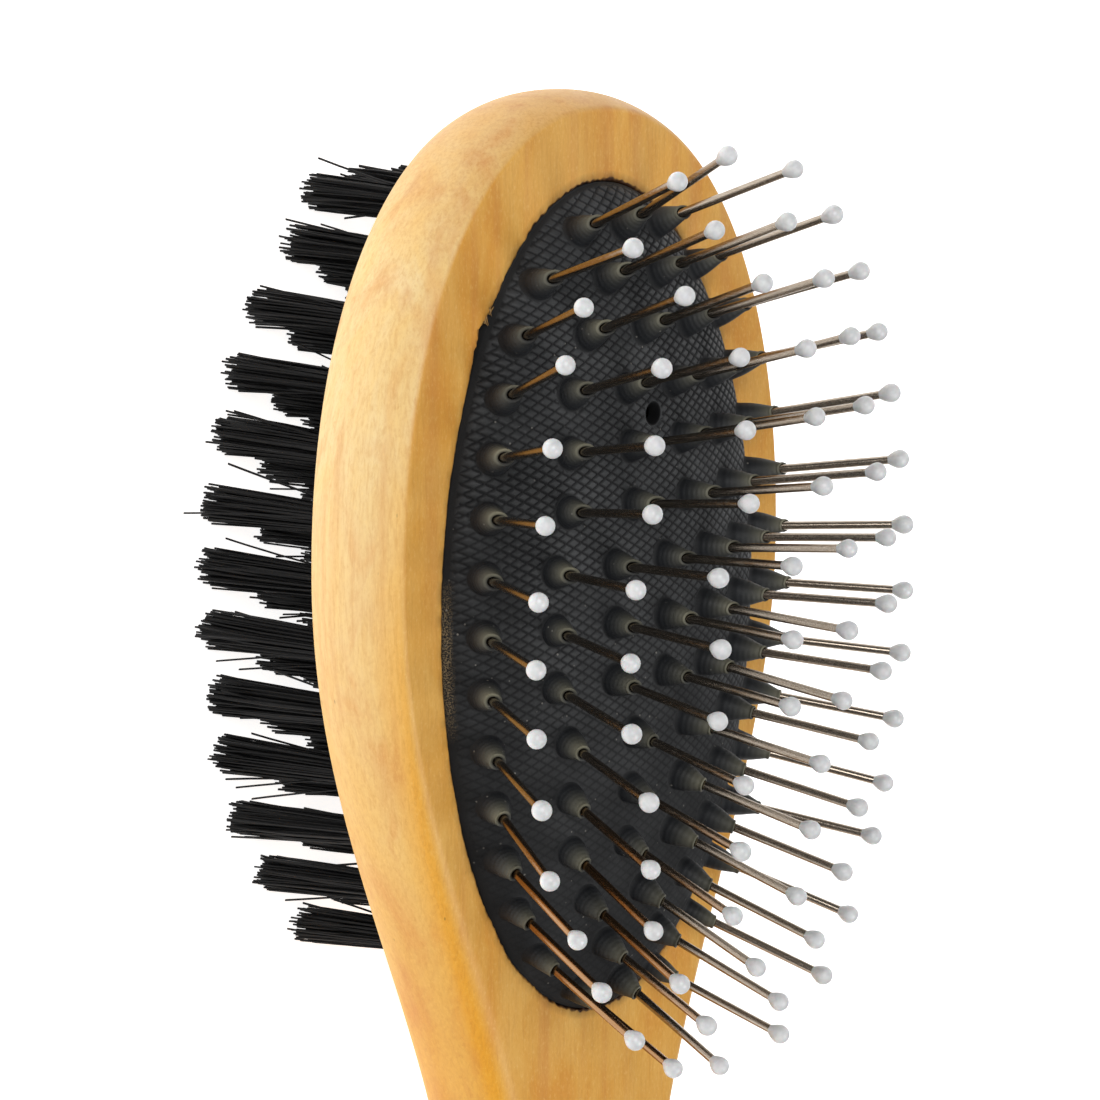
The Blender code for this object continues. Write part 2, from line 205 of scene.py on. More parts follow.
def add_piece(name, points, faces, material, sharp_angle=None):
    """A mesh object, smooth but for edges sharper than sharp_angle in degrees."""
    mesh = bpy.data.meshes.new(name)
    mesh.from_pydata([tuple(p) for p in points], [], faces)
    bm = bmesh.new()
    bm.from_mesh(mesh)
    bmesh.ops.recalc_face_normals(bm, faces=bm.faces)
    bm.to_mesh(mesh)
    bm.free()
    mesh.materials.append(material)
    mesh.shade_smooth()
    if sharp_angle is not None:
        mesh.set_sharp_from_angle(angle=math.radians(sharp_angle))
    obj = bpy.data.objects.new(name, mesh)
    bpy.context.scene.collection.objects.link(obj)
    return obj


def add_attribute(obj, name, values):
    """Numbers, one for each point, that a material can read by name."""
    layer = obj.data.attributes.new(name, "FLOAT", "POINT")
    layer.data.foreach_set("value", values)


class Skin:
    """Collects points and faces; loops of points are joined ring to ring."""

    def __init__(self):
        self.points = []
        self.faces = []

    def ring(self, points):
        start = len(self.points)
        self.points += points
        return list(range(start, start + len(points)))

    def join(self, lower, upper):
        count = len(lower)
        for i in range(count):
            j = (i + 1) % count
            self.faces.append((lower[i], lower[j], upper[j], upper[i]))

    def cap(self, ring, reverse=False):
        self.faces.append(tuple(reversed(ring)) if reverse else tuple(ring))

    def loft(self, rings):
        """Joins rings of points one after another and returns their indices."""
        loops = [self.ring(ring) for ring in rings]
        for lower, upper in zip(loops, loops[1:]):
            self.join(lower, upper)
        return loops

    def rod(self, rings):
        """Joins rings and closes both ends."""
        loops = self.loft(rings)
        self.cap(loops[0], reverse=True)
        self.cap(loops[-1])

    def sheet(self, loops, inner, lift, reverse=False):
        """Triangles inside the first loop and outside the others, through inner (x, y) points."""
        indices = [index for loop in loops for index in loop]
        polygons = [[Vector(self.points[index][:2]) / MM for index in loop] for loop in loops]
        flat = [place for polygon in polygons for place in polygon]
        edges = []
        loop_of = {}
        for number, loop in enumerate(loops):
            start = len(edges)
            count = len(loop)
            edges += [(start + i, start + (i + 1) % count) for i in range(count)]
            loop_of.update({index: number for index in loop})
        flat += [Vector(point) / MM for point in inner]
        indices += self.ring([lift(x, y) for x, y in inner])
        places, _, triangles, sources, *_ = delaunay_2d_cdt(flat, edges, [], 0, 1e-6)
        for triangle in triangles:
            corners = [indices[sources[i][0]] for i in triangle]
            numbers = {loop_of.get(corner) for corner in corners}
            if len(numbers) == 1 and None not in numbers:
                number = numbers.pop()
                centre = sum((places[i] for i in triangle), Vector((0, 0))) / 3
                if within(polygons[number], centre) != (number == 0):
                    continue
            self.faces.append(tuple(reversed(corners)) if reverse else tuple(corners))


def within(polygon, point):
    """Whether a point lies inside a polygon, by counting the edges to its right."""
    inside = False
    for start, end in zip(polygon, polygon[1:] + polygon[:1]):
        if (start.y > point.y) != (end.y > point.y):
            share = (point.y - start.y) / (end.y - start.y)
            if point.x < start.x + share * (end.x - start.x):
                inside = not inside
    return inside


def oval(half_width, half_length, z, steps=OVAL_STEPS):
    """An oval ring about the pocket's middle."""
    angles = [2 * math.pi * i / steps for i in range(steps)]
    return [Vector((half_width * math.cos(angle), POCKET_Y + half_length * math.sin(angle), z))
            for angle in angles]


def ring_about(centre, axis, radius, sides, turn=0.0):
    """A round ring square to an axis."""
    across = Vector((0, 1, 0)).cross(axis).normalized()
    along = axis.cross(across)
    angles = [2 * math.pi * i / sides + turn for i in range(sides)]
    return [centre + radius * (math.cos(angle) * across + math.sin(angle) * along)
            for angle in angles]


def jitter(chance, spread):
    """A random push in the plane of the face."""
    return Vector((chance.gauss(0, spread), chance.gauss(0, spread), 0))


def ease(t):
    """A smooth step from 0 to 1 as t goes from 0 to 1."""
    t = min(max(t, 0.0), 1.0)
    return 0.5 - 0.5 * math.cos(math.pi * t)


# ---- layout shared with the CAD

def dome_height(share):
    """Height over the face of the cushion's top, for a share of 0 at its middle, 1 at its rim."""
    share = min(share, 1.0)
    return DOME_RISE * (1 - share) + RIM_RISE * (1 - share ** RIM_SHARPNESS)


def squared_share(x, y, margin=0.0):
    """Square of how far out (x, y) is: 1 on the pocket's edge drawn in by the margin."""
    across = x / (POCKET_HALF_WIDTH - margin)
    along = (y - POCKET_Y) / (POCKET_HALF_LENGTH - margin)
    return across * across + along * along


def pin_row_y(row):
    """Where a row lies; the rows at the ends are drawn in a little."""
    step = len(PIN_COUNTS) // 2 - row
    end_step = len(PIN_COUNTS) // 2
    drawn_in = END_ROW_SHIFT * (step / end_step) ** 5
    return POCKET_Y + PIN_FIELD_OFFSET + PIN_ROW_PITCH * step - drawn_in


def pin_axis(x, y):
    """The direction of a pin: the pins fan out from the middle of the cushion."""
    along = y - POCKET_Y - PIN_FIELD_OFFSET - LEAN_CENTRE
    lean_x = LEAN_ACROSS * x + LEAN_ACROSS_EASE * x ** 3
    lean_y = LEAN_ALONG * along - LEAN_ALONG_EASE * (along / PIN_FIELD_HALF_LENGTH) ** 5
    return Vector((math.tan(lean_x), math.tan(lean_y), 1)).normalized()


def pin_row(row):
    count = PIN_COUNTS[row]
    step = len(PIN_COUNTS) // 2 - row
    reach = PIN_ROW_PITCH * step / PIN_FIELD_HALF_LENGTH
    half_width = PIN_FIELD_HALF_WIDTH * math.sqrt(1 - reach * reach)
    y = pin_row_y(row)
    pins = []
    for i in range(count):
        x = half_width * (2 * i / (count - 1) - 1)
        root = Vector((x, y, FACE_Z + dome_height(squared_share(x, y))))
        pins.append((root, pin_axis(x, y)))
    return pins


def used_pins():
    """The rows of pins as use has left them: all a little out of line, some pushed over."""
    chance = random.Random(5)
    rows = []
    for row in range(len(PIN_COUNTS)):
        pins = []
        for column, (root, axis) in enumerate(pin_row(row), start=1):
            push = jitter(chance, 0.15) * MM
            if (row + 1, column) in BENT_PINS:
                push = Vector((*BENT_PINS[row + 1, column], 0)) * MM
            pins.append((root, (axis * PIN_LENGTH + push).normalized()))
        rows.append(pins)
    return rows


def main_tuft_row(index):
    """Count, half width and place of a long row, numbered from the head's tip."""
    end_step = (TUFT_ROWS - 1) / 2
    step = end_step - index
    offset = TUFT_ROW_PITCH * step
    reach = (offset + TUFT_WIDEST_DROP) / TUFT_FIELD_HALF_LENGTH
    half_width = TUFT_FIELD_HALF_WIDTH * math.sqrt(max(1 - reach * reach, 0))
    count = max(2, 1 + round(2 * half_width / TUFT_SPACING))
    if index == 0:
        count, half_width = TUFT_HEAD_COUNT, TUFT_HEAD_HALF_WIDTH
    drawn_in = TUFT_HEAD_SHIFT * max(step / end_step, 0) ** 4
    return count, half_width, TUFT_FIELD_Y + offset - drawn_in


def short_tuft_row(row, next_row):
    """The row between two long ones, staggered against them."""
    count, half_width, y = row
    next_count, next_width, next_y = next_row
    between = count - 1 if count == next_count else 2
    return between, (half_width + next_width) / 2 - TUFT_STAGGER, (y + next_y) / 2


def tuft_rows():
    """The roots of all tufts on the back face, row by row."""
    long_rows = [main_tuft_row(index) for index in range(TUFT_ROWS)]
    rows = [long_rows[0]]
    for row, next_row in zip(long_rows[1:], long_rows[2:]):
        rows += [row, short_tuft_row(row, next_row)]
    rows.append(long_rows[-1])
    return [[Vector((half_width * (2 * i / (count - 1) - 1), y, BACK_Z)) for i in range(count)]
            for count, half_width, y in rows]


# ---- material helpers

class Graph:
    """A material's node tree, with short calls for its nodes."""

    def __init__(self, name):
        self.material = bpy.data.materials.new(name)
        self.material.use_nodes = True
        self.tree = self.material.node_tree
        self.shader = self.tree.nodes["Principled BSDF"]
        self.place = self.scaled(self.node("TexCoord").outputs["Object"], (1 / MM,) * 3)

    def put(self, socket, value):
        """Links a socket to another one, or sets it to a number, colour or vector."""
        if isinstance(value, bpy.types.NodeSocket):
            self.tree.links.new(value, socket)
        elif value is not None:
            socket.default_value = value

    def fill(self, node, inputs):
        """Puts values on a node's inputs by name, with underscores for spaces."""
        for name, value in inputs.items():
            self.put(node.inputs[name.replace("_", " ")], value)

    def set(self, **inputs):
        self.fill(self.shader, inputs)

    def node(self, kind, **inputs):
        node = self.tree.nodes.new("ShaderNode" + kind)
        self.fill(node, inputs)
        return node

    def scaled(self, place, factors):
        node = self.node("VectorMath")
        node.operation = "MULTIPLY"
        self.put(node.inputs[0], place)
        self.put(node.inputs[1], factors)
        return node.outputs[0]

    def math(self, operation, first, second=None, clamp=False):
        node = self.node("Math")
        node.operation = operation
        node.use_clamp = clamp
        self.put(node.inputs[0], first)
        self.put(node.inputs[1], second)
        return node.outputs[0]

    def stretched(self, x, y, z):
        return self.scaled(self.place, (x, y, z))

    def noise(self, place, scale, detail, roughness, distortion=0.0):
        node = self.node("TexNoise", Vector=place, Scale=scale, Detail=detail,
                         Roughness=roughness, Distortion=distortion)
        return node.outputs["Fac"]

    def cells(self, place, scale):
        return self.node("TexVoronoi", Vector=place, Scale=scale).outputs["Distance"]

    def span(self, value, low, high, to_low=0.0, to_high=1.0):
        node = self.node("MapRange", Value=value, From_Min=low, From_Max=high,
                         To_Min=to_low, To_Max=to_high)
        return node.outputs["Result"]

    def mix(self, share, first, second, blend="MIX"):
        node = self.node("Mix")
        node.data_type = "RGBA"
        node.blend_type = blend
        colours = [s for s in node.inputs if s.type == "RGBA"]
        self.put(node.inputs[0], share)
        self.put(colours[0], first)
        self.put(colours[1], second)
        return [s for s in node.outputs if s.type == "RGBA"][0]

    def part(self, vector, axis):
        return self.node("SeparateXYZ", Vector=vector).outputs[axis]

    def attribute(self, name):
        node = self.node("Attribute")
        node.attribute_name = name
        return node.outputs["Fac"]

    def bump(self, height, strength, distance, under=None):
        node = self.node("Bump", Strength=strength, Distance=distance, Height=height,
                         Normal=under)
        return node.outputs["Normal"]


def rgb(red, green, blue):
    """An sRGB colour of 0 to 255 as a linear RGBA tuple."""
    def linear(value):
        value /= 255
        return value / 12.92 if value <= 0.04045 else ((value + 0.055) / 1.055) ** 2.4
    return (linear(red), linear(green), linear(blue), 1.0)


# ---- materials

def wood_material():
    """Lacquered pale hardwood: grain along Y, soft mottled figure, fine flecks and a few pores,
    with a painted reflection on the sides, a painted highlight along the crease and painted shade
    in the pocket.
    """
    g = Graph("lacquered_wood")
    bands = g.noise(g.stretched(1.0, 0.05, 1.0), 0.28, 4, 0.6, 0.4)
    fibres = g.noise(g.stretched(1.0, 0.09, 1.0), 2.6, 4, 0.7, 0.6)
    flecks = g.noise(g.stretched(1.0, 0.45, 1.0), 3.4, 3, 0.75)
    figure = g.noise(g.stretched(1.0, 0.45, 1.0), 0.16, 4, 0.6, 0.8)
    golden = g.mix(g.span(bands, 0.3, 0.7), rgb(229, 170, 76), rgb(222, 156, 60))
    pale = g.mix(g.span(bands, 0.3, 0.7), rgb(237, 211, 156), rgb(231, 197, 134))
    along = g.part(g.place, 1)
    normal_z = g.part(g.node("TexCoord").outputs["Normal"], 2)
    sideways = g.span(g.math("ABSOLUTE", normal_z), 0.94, 0.62)
    # Painted reflection: the sides are paled, most towards the head, as the lacquer would reflect
    # a soft light from the upper left.
    side_reflection = g.math("MULTIPLY", sideways, g.span(along, 0.0, 80.0), clamp=True)
    colour = g.mix(side_reflection, golden, pale)
    colour = g.mix(g.span(figure, 0.40, 0.68, 0.0, 0.5), colour, rgb(240, 194, 108))
    colour = g.mix(g.span(figure, 0.44, 0.28, 0.0, 0.42), colour, rgb(216, 138, 56))
    # Painted highlight: a warm brighter band along the crease between face and side, strongest
    # towards the handle.
    crease = g.span(g.math("ABSOLUTE", g.math("SUBTRACT", normal_z, 0.58)), 0.34, 0.08)
    crease_highlight = g.math("MULTIPLY", crease, g.span(along, 85.0, 45.0, 0.1, 0.85), clamp=True)
    colour = g.mix(crease_highlight, colour, rgb(238, 174, 68))
    streaks = g.noise(g.stretched(1.0, 0.04, 1.0), 0.3, 3, 0.55, 0.3)
    colour = g.mix(g.span(streaks, 0.52, 0.68, 0.0, 0.38), colour, rgb(206, 132, 66))
    colour = g.mix(g.span(fibres, 0.46, 0.68, 0.0, 0.36), colour, rgb(204, 138, 58))
    colour = g.mix(g.span(flecks, 0.52, 0.75, 0.0, 0.26), colour, rgb(200, 130, 50))
    colour = g.mix(g.span(flecks, 0.46, 0.25, 0.0, 0.36), colour, rgb(248, 212, 136))
    pores = g.cells(g.stretched(1.0, 0.3, 1.0), 0.35)
    colour = g.mix(g.span(pores, 0.035, 0.015, 0.0, 0.6), colour, rgb(120, 76, 34))
    # The painted reflection on the sides is dimmed and yellowed towards the handle, and darkened
    # near the head's tip.
    low = g.math("MULTIPLY", sideways, g.span(along, 62.0, 18.0), clamp=True)
    colour = g.mix(low, colour, (0.96, 0.86, 0.44, 1.0), "MULTIPLY")
    top = g.math("MULTIPLY", sideways, g.span(along, 97.0, 112.0), clamp=True)
    colour = g.mix(top, colour, (0.87, 0.69, 0.43, 1.0), "MULTIPLY")
    # Darkened at the pocket's cut edge, its own dark mark, and with painted shade down its wall
    # and in its chamber.
    colour = g.mix(g.attribute("stain_and_shade"), colour, rgb(62, 36, 16))
    normal = g.bump(fibres, 0.15, 0.04 * MM)
    normal = g.bump(flecks, 0.2, 0.03 * MM, normal)
    normal = g.bump(figure, 0.2, 0.3 * MM, normal)
    g.set(Base_Color=colour, Normal=normal)
    g.set(Roughness=g.span(bands, 0.3, 0.7, 0.46, 0.56))
    g.set(Specular_IOR_Level=0.35, Coat_Weight=0.1, Coat_Roughness=0.45)
    return g.material


def rubber_material():
    """Moulded black rubber, dusty in places, with painted shade on the -X flank, in the grooves,
    along the rim and down the holes, and paler stretched boss tops with a painted highlight.
    """
    g = Graph("black_rubber")
    cloud = g.noise(g.place, 0.12, 3, 0.6)
    grain = g.noise(g.place, 5.0, 3, 0.6)
    painted_shade = g.attribute("painted_shade")
    colour = g.mix(g.span(cloud, 0.35, 0.65), rgb(50, 51, 52), rgb(68, 69, 70))
    # Painted shade: the dome's -X flank is darkened towards its edge.
    colour = g.mix(g.span(g.part(g.place, 0), -12.0, -19.0, 0.0, 0.7), colour, rgb(14, 15, 16))
    colour = g.mix(g.span(g.attribute("boss"), 0.0, 0.1), colour, rgb(36, 38, 41))
    # Pale stretched rubber on the bosses' tops, brightest on their upper-left sides as a painted
    # highlight.
    colour = g.mix(g.attribute("thin_and_highlight"), colour, rgb(150, 146, 122))
    # Painted shade: grooves, rim, vent, holes and boss feet go towards near black.
    colour = g.mix(g.math("MULTIPLY", painted_shade, 0.85, clamp=True), colour, rgb(11, 11, 12))
    dust = g.cells(g.place, 0.75)
    dusty = g.math("MULTIPLY", g.span(dust, 0.10, 0.05), g.span(cloud, 0.42, 0.58), clamp=True)
    colour = g.mix(g.math("MULTIPLY", dusty, 0.6), colour, rgb(150, 146, 138))
    specks = g.span(g.noise(g.place, 7.0, 2, 0.8), 0.49, 0.58)
    rim = g.math("MULTIPLY", g.attribute("rim_dust"), specks, clamp=True)
    colour = g.mix(rim, colour, rgb(140, 122, 92))
    rings = g.math("SINE", g.math("MULTIPLY", g.attribute("boss"), 40.0))
    normal = g.bump(grain, 0.35, 0.05 * MM)
    normal = g.bump(rings, 0.25, 0.04 * MM, normal)
    g.set(Base_Color=colour, Normal=normal)
    worn = g.span(grain, 0.3, 0.7, 0.48, 0.62)
    g.set(Roughness=g.math("ADD", worn, g.math("MULTIPLY", painted_shade, 0.3), clamp=True))
    g.set(Specular_IOR_Level=0.3)
    return g.material


def wire_material():
    """Drawn nickel-plated steel, with a painted brown reflection of the wood on the -X side
    towards the handle.
    """
    g = Graph("nickel_wire")
    marks = g.noise(g.stretched(1.0, 1.0, 0.08), 7.0, 3, 0.7)
    specks = g.noise(g.place, 4.0, 3, 0.7)
    colour = g.mix(g.span(marks, 0.3, 0.7), rgb(146, 132, 116), rgb(174, 164, 151))
    colour = g.mix(g.span(specks, 0.64, 0.76, 0.0, 0.35), colour, rgb(112, 96, 78))
    # Painted reflection: wires on the -X side towards the handle are browned as if mirroring the
    # wood.
    middle = POCKET_Y / MM
    near_side = g.span(g.part(g.place, 0), -2.0, -9.0)
    low = g.span(g.part(g.place, 1), middle - 12, middle - 24, 0.0, 0.75)
    wood_reflection = g.math("MULTIPLY", near_side, low)
    colour = g.mix(wood_reflection, colour, rgb(150, 106, 58))
    g.set(Base_Color=colour, Metallic=1.0)
    g.set(Roughness=g.span(marks, 0.3, 0.7, 0.14, 0.26))
    g.set(Normal=g.bump(specks, 0.1, 0.02 * MM))
    return g.material


def tip_material():
    """White dipped plastic with a soft gloss."""
    g = Graph("ball_tip")
    blots = g.noise(g.place, 1.3, 2, 0.5)
    pits = g.cells(g.place, 2.2)
    colour = g.mix(g.span(blots, 0.35, 0.7), rgb(222, 223, 223), rgb(206, 207, 207))
    colour = g.mix(g.span(pits, 0.14, 0.05, 0.0, 0.25), colour, rgb(190, 190, 186))
    pitted = g.bump(pits, 0.15, 0.04 * MM)
    g.set(Base_Color=colour, Normal=g.bump(blots, 0.3, 0.08 * MM, pitted))
    g.set(Roughness=g.span(blots, 0.3, 0.7, 0.26, 0.36), Specular_IOR_Level=0.5)
    g.set(Subsurface_Weight=0.15, Subsurface_Scale=0.6 * MM)
    return g.material


def bristle_material():
    """Black nylon, each bristle a little different."""
    g = Graph("black_bristle")
    island = g.node("NewGeometry").outputs["Random Per Island"]
    scuffs = g.noise(g.stretched(1.0, 1.0, 0.1), 6.0, 2, 0.6)
    colour = g.mix(island, rgb(2, 2, 3), rgb(8, 8, 9))
    colour = g.mix(g.span(scuffs, 0.6, 0.8, 0.0, 0.3), colour, rgb(28, 27, 26))
    g.set(Base_Color=colour)
    g.set(Roughness=g.span(scuffs, 0.3, 0.7, 0.4, 0.55), Specular_IOR_Level=0.16)
    g.set(Normal=g.bump(scuffs, 0.2, 0.02 * MM))
    return g.material


def floor_material():
    """Matt white studio paper, lit from below as on a light table."""
    g = Graph("studio_paper")
    fibre = g.noise(g.place, 0.6, 3, 0.6)
    g.set(Base_Color=g.mix(g.span(fibre, 0.3, 0.7), rgb(247, 247, 247), rgb(243, 243, 243)))
    g.set(Roughness=0.9, Specular_IOR_Level=0.1)
    g.set(Emission_Color=(1, 1, 1, 1), Emission_Strength=0.9)
    return g.material


# ---- wooden body

def superellipse_quarter(half_width, length, roundness, steps):
    """A rounded end, from its tip to its widest place."""
    for i in range(steps + 1):
        angle = 0.5 * math.pi * (1 - i / steps)
        yield (half_width * abs(math.cos(angle)) ** (2 / roundness),
               length * math.sin(angle) ** (2 / roundness))


def right_outline():
    """The edge of the flat face on the +X side, from the head's tip to the handle's end."""
    points = []
    for x, y in superellipse_quarter(HEAD_HALF_WIDTH, HEAD_SEMI_LENGTH, HEAD_ROUNDNESS, 64):
        points.append(Vector((x, WIDEST_Y + y)))
    stretches = ((56, HEAD_HALF_WIDTH, NECK_HALF_WIDTH, WIDEST_Y, NECK_Y),
                 (24, NECK_HALF_WIDTH, HANDLE_HALF_WIDTH, NECK_Y, HANDLE_WIDEST_Y))
    for steps, width, next_width, y, next_y in stretches:
        for i in range(1, steps + 1):
            t = i / steps
            points.append(Vector((width + (next_width - width) * ease(t), y + (next_y - y) * t)))
    end_length = HANDLE_WIDEST_Y - HANDLE_END_Y
    end = list(superellipse_quarter(HANDLE_HALF_WIDTH, end_length, HANDLE_END_ROUNDNESS, 36))
    for x, y in reversed(end[:-1]):
        points.append(Vector((x, HANDLE_WIDEST_Y - y)))
    return points


def whole_outline():
    """The right outline and its mirror image, once round."""
    right = right_outline()
    left = [Vector((-p.x, p.y)) for p in reversed(right[1:-1])]
    return right + left


def offset_ring(outline, offset, z):
    """The outline moved outward, and further on the rounder handle."""
    ring = []
    count = len(outline)
    for i, point in enumerate(outline):
        tangent = outline[(i + 1) % count] - outline[i - 1]
        normal = Vector((-tangent.y, tangent.x)).normalized()
        on_handle = ease((10 * MM - point.y) / (50 * MM))
        scale = 1 + (HANDLE_BULGE_SCALE - 1) * on_handle
        moved = point + normal * offset * scale
        ring.append(Vector((moved.x, moved.y, z)))
    return ring


def inside_outline(outline):
    """A test of whether (x, y) lies between the outline's two sides, by its half width at y."""
    half = outline[:len(outline) // 2 + 1]
    ys = np.array([-p.y for p in half])
    xs = np.array([abs(p.x) for p in half])

    def test(x, y, margin=0.0):
        return abs(x) < float(np.interp(-y, ys, xs)) - margin and ys[0] < -y < ys[-1]
    return test


def grid_points(low, high, pitch, keep):
    """Staggered points over a rectangle, where keep(x, y) allows them."""
    points = []
    rows = int((high[1] - low[1]) / (pitch * 0.866)) + 1
    columns = int((high[0] - low[0]) / pitch) + 1
    for j in range(rows):
        for i in range(columns):
            x = low[0] + pitch * (i + 0.5 * (j % 2))
            y = low[1] + pitch * 0.866 * j
            if keep(x, y):
                points.append((x, y))
    return points


def pocket_ring(radius_change, z, rag=0.0):
    """A ring of the pocket's edge; rag lets the cut wander, most where it crosses the grain."""
    ring = oval(POCKET_HALF_WIDTH + radius_change, POCKET_HALF_LENGTH + radius_change, z,
                POCKET_EDGE_STEPS)
    moved = []
    for i, point in enumerate(ring):
        angle = 2 * math.pi * i / POCKET_EDGE_STEPS
        outward = Vector((math.cos(angle), math.sin(angle), 0))
        cross_grain = 0.25 + 0.75 * abs(math.sin(angle)) ** 3
        along_edge = Vector((point.x, point.y, 0)) / MM
        fine = noise.noise(along_edge * 1.7)
        broad = noise.noise(along_edge * 0.25)
        chip = min((angle - CHIP_START) / (0.3 * (CHIP_END - CHIP_START)),
                   (CHIP_END - angle) / (0.7 * (CHIP_END - CHIP_START)))
        offset = rag * (cross_grain * fine + 0.5 * broad)
        if rag > 0 and chip > 0:
            offset += CHIP_DEPTH * chip * (0.8 + 0.6 * fine)
        moved.append(point + outward * offset)
    return moved


def build_splinters(material):
    """Slivers of wood torn up at the top end of the chip in the pocket's edge."""
    chance = random.Random(3)
    skin = Skin()
    for i in range(6):
        angle = CHIP_START + math.radians(chance.uniform(-1.0, 2.5))
        foot = Vector((POCKET_HALF_WIDTH * math.cos(angle),
                       POCKET_Y + POCKET_HALF_LENGTH * math.sin(angle), FACE_Z - 0.15 * MM))
        foot += Vector((math.cos(angle), math.sin(angle), 0)) * chance.uniform(0.0, 0.5) * MM
        lie = Vector((chance.uniform(-0.5, 0.1), -1 if i % 2 else 1, chance.uniform(0.3, 0.9)))
        lie = lie.normalized() * chance.uniform(0.5, 1.1) * MM
        width = chance.uniform(0.07, 0.14) * MM
        rings = []
        for share in (0.0, 0.35, 0.7, 1.0):
            rings.append(ring_about(foot + lie * share + UP * 0.12 * MM * share * share,
                                    lie.normalized(), width * (1.02 - share) ** 0.6, 5, angle))
        skin.rod(rings)
    splinters = add_piece("wood_splinters", skin.points, skin.faces, material, sharp_angle=30)
    add_attribute(splinters, "stain_and_shade", [0.4 + 0.4 * chance.random() for _ in skin.points])
    return splinters


def side_section(edge_round):
    """Offset and height over mid-thickness, from the face round a crease and down to the back."""
    half = BODY_THICKNESS / 2
    low = half - edge_round

    def barrel(height):
        return Vector((SIDE_BULGE * (1 - abs(height / half) ** BARREL), height))

    start = Vector((-0.8 * edge_round, half))
    corner = Vector((0, half))
    end = barrel(low)
    crease = []
    for i in range(8):
        t = i / 8
        crease.append(start.lerp(corner, t).lerp(corner.lerp(end, t), t))
    side = [barrel(low * (1 - i / 11)) for i in range(23)]
    return crease + side + [Vector((p.x, -p.y)) for p in reversed(crease)]


def crease_softness(y):
    """0 where the side's crease is crisp, 1 where it is softest."""
    start, end = SOFT_CREASE_Y
    return ease((start - y) / (start - end))


def build_wood(material):
    """Head and handle in one skin, with the pocket and the tuft holes sunk into it."""
    outline = whole_outline()
    skin = Skin()
    middle = FACE_Z - BODY_THICKNESS / 2
    rings = []
    for crisp, soft in zip(side_section(HEAD_EDGE_ROUND), side_section(HANDLE_EDGE_ROUND)):
        crisp_ring = offset_ring(outline, crisp.x, middle + crisp.y)
        soft_ring = offset_ring(outline, soft.x, middle + soft.y)
        rings.append([a.lerp(b, crease_softness(p.y))
                      for a, b, p in zip(crisp_ring, soft_ring, outline)])
    # A ring just inside each flat face's edge keeps the crease from bending the face.
    for ring, place in ((rings[0], 0), (rings[-1], len(rings) + 1)):
        rings.insert(place, offset_ring([p.xy for p in ring], -0.5 * MM, ring[0].z))
    sides = skin.loft(rings)

    chamber = -LEDGE_WIDTH
    pocket = skin.loft([
        pocket_ring(POCKET_EDGE_ROUND + 0.9 * MM, FACE_Z),
        pocket_ring(POCKET_EDGE_ROUND + 0.12 * MM, FACE_Z, POCKET_RAG),
        pocket_ring(POCKET_EDGE_ROUND, FACE_Z - 0.01 * MM, POCKET_RAG),
        pocket_ring(0.35 * POCKET_EDGE_ROUND, FACE_Z - 0.35 * POCKET_EDGE_ROUND, POCKET_RAG),
        pocket_ring(0, FACE_Z - POCKET_EDGE_ROUND, 0.7 * POCKET_RAG),
        pocket_ring(0, FACE_Z - LEDGE_DEPTH),
        pocket_ring(chamber, FACE_Z - LEDGE_DEPTH),
        pocket_ring(chamber, FACE_Z - CHAMBER_DEPTH),
    ])
    skin.cap(pocket[-1])
    inside = inside_outline(rings[0])

    def flat_points(keep):
        return grid_points((-31 * MM, HANDLE_END_Y), (31 * MM, HEAD_TIP_Y), 2.5 * MM,
                           lambda x, y: inside(x, y, 0.7 * MM) and keep(x, y))

    face_points = flat_points(lambda x, y: squared_share(x, y, -1.6 * MM) > 1)
    skin.sheet([sides[0], pocket[0]], face_points, lambda x, y: Vector((x, y, FACE_Z)))

    roots = [root for row in tuft_rows() for root in row]
    hole_loops = []
    for root in roots:
        profile = ((0, 0.12 * MM), (0.12 * MM, 0), (TUFT_HOLE_DEPTH, 0))
        loops = skin.loft([ring_about(root + UP * depth, UP, TUFT_HOLE_RADIUS + wide, 16)
                           for depth, wide in profile])
        skin.cap(loops[-1])
        hole_loops.append(loops[0])

    centres = np.array([(root.x, root.y) for root in roots])

    def off_holes(x, y):
        return np.hypot(centres[:, 0] - x, centres[:, 1] - y).min() > TUFT_HOLE_RADIUS + 0.6 * MM

    skin.sheet([sides[-1]] + hole_loops, flat_points(off_holes),
               lambda x, y: Vector((x, y, BACK_Z)), reverse=True)

    body = add_piece("wood_head_and_handle", skin.points, skin.faces, material, sharp_angle=50)
    # The cut edge is darkened as the real cut is, and the pocket's wall and chamber below it get
    # painted shade.
    stain_and_shade = [0.0] * len(skin.points)
    for ring, amount in zip(pocket, (0.0, 0.25, 0.6, 0.85, 0.9, 0.7, 0.7, 0.7)):
        for index in ring:
            point = skin.points[index]
            end = abs((point.y - POCKET_Y) / POCKET_HALF_LENGTH) ** 6
            patch = noise.noise(Vector((point.x, point.y, 0)) / MM * 0.9)
            stain_and_shade[index] = max(0.0, min(1.0, amount * (0.75 + 0.9 * patch + 0.7 * end)))
    add_attribute(body, "stain_and_shade", stain_and_shade)
    return body


# ---- cushion

def cushion_surface(x, y, drop=0.0):
    """The point of the dome over (x, y), or of its underside when dropped."""
    return Vector((x, y, FACE_Z + dome_height(squared_share(x, y, RIM_GAP)) - drop))


def rim_distance(x, y):
    """How far (x, y) is from the nearest point of the dome's rim."""
    across, along = DOME_FOOT
    return min((Vector((x, y)) - p.xy).length
               for p in oval(across * POCKET_HALF_WIDTH, along * POCKET_HALF_LENGTH, 0))


